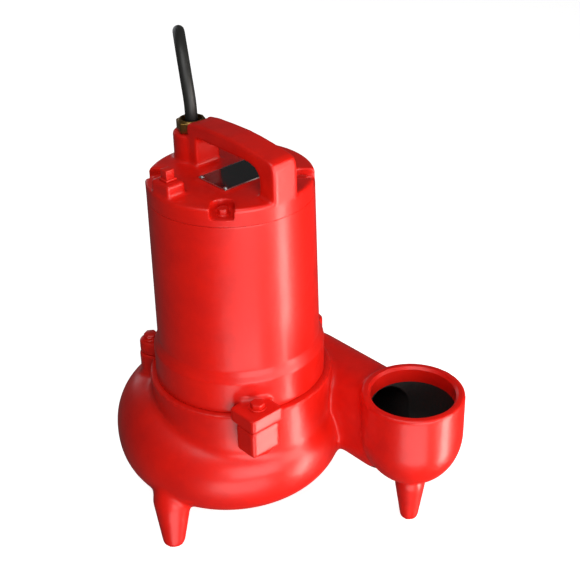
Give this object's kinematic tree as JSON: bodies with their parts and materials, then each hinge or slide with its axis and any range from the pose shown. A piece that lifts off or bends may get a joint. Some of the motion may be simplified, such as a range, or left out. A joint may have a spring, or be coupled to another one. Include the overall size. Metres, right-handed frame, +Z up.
{
  "type": "submersible sewage pump",
  "caption": "Submersible sewage pump: round oil-filled motor with a top handle on a volute with tapered legs and an upright threaded discharge hub.",
  "frame": {"origin": "on the floor under the middle of the pump, without its cord", "axes": "+Z up along the motor shaft; +X along the handle, towards the discharge side"},
  "size_m": [0.5249, 0.3821, 0.504],
  "materials": {
    "red_enamel": "thick glossy enamel on cast iron",
    "brass": "machined",
    "black_rubber": "extruded",
    "machined_iron": "machined",
    "steel": "machined",
    "black_plate": "gloss black plate",
    "copper": "enamelled copper winding",
    "lamination": "stacked laminations",
    "ceramic": "lapped ceramic",
    "carbon": "moulded carbon",
    "nylon": "moulded nylon",
    "fibre": "gasket fibre"
  },
  "bodies": {
    "pump_body": {"volute_casing": "red_enamel", "motor_housing": "red_enamel", "motor_cover": "red_enamel", "oil_plug": "red_enamel", "volute_bolt_1": "red_enamel", "volute_bolt_2": "red_enamel", "volute_bolt_3": "red_enamel", "cover_bolt_1": "red_enamel", "cover_bolt_2": "red_enamel", "cover_bolt_3": "red_enamel", "cover_bolt_4": "red_enamel", "upper_bearing_outer_ring": "steel", "lower_bearing_outer_ring": "steel", "bearing_spring": "steel", "plate_pin_1": "steel", "plate_pin_2": "steel", "plate_pin_3": "steel", "plate_pin_4": "steel", "seal_plate": "machined_iron", "stator_core": "lamination", "upper_end_winding": "copper", "lower_end_winding": "copper", "power_cord": "black_rubber", "cord_coil": "black_rubber", "cord_plug": "black_rubber", "cord_grommet": "black_rubber", "thermal_protector": "nylon", "cord_tie": "nylon", "housing_gasket": "fibre", "cover_gasket": "fibre", "gland_nut": "brass", "nameplate": "black_plate", "seal_seat": "ceramic"},
    "rotor": {"shaft": "steel", "rotor_core": "lamination", "impeller": "machined_iron", "impeller_nut": "steel", "seal_face": "carbon", "seal_spring": "steel", "upper_bearing_inner_ring": "steel", "lower_bearing_inner_ring": "steel"},
    "upper_cage": {"upper_bearing_ball_cage": "steel"},
    "lower_cage": {"lower_bearing_ball_cage": "steel"}
  },
  "joints": [
    {"name": "shaft_spin", "type": "hinge", "parent": "pump_body", "child": "rotor", "pos_m": [-0.03325, -0.01285, 0.25], "axis": [0, 0, 1], "continuous": true},
    {"name": "upper_cage_spin", "type": "hinge", "parent": "pump_body", "child": "upper_cage", "pos_m": [-0.03325, -0.01285, 0.372], "axis": [0, 0, 1], "continuous": true},
    {"name": "lower_cage_spin", "type": "hinge", "parent": "pump_body", "child": "lower_cage", "pos_m": [-0.03325, -0.01285, 0.179], "axis": [0, 0, 1], "continuous": true}
  ],
  "couplings": [
    {"joint": "upper_cage_spin", "follows": "shaft_spin", "ratio": 0.38},
    {"joint": "lower_cage_spin", "follows": "shaft_spin", "ratio": 0.39}
  ]
}
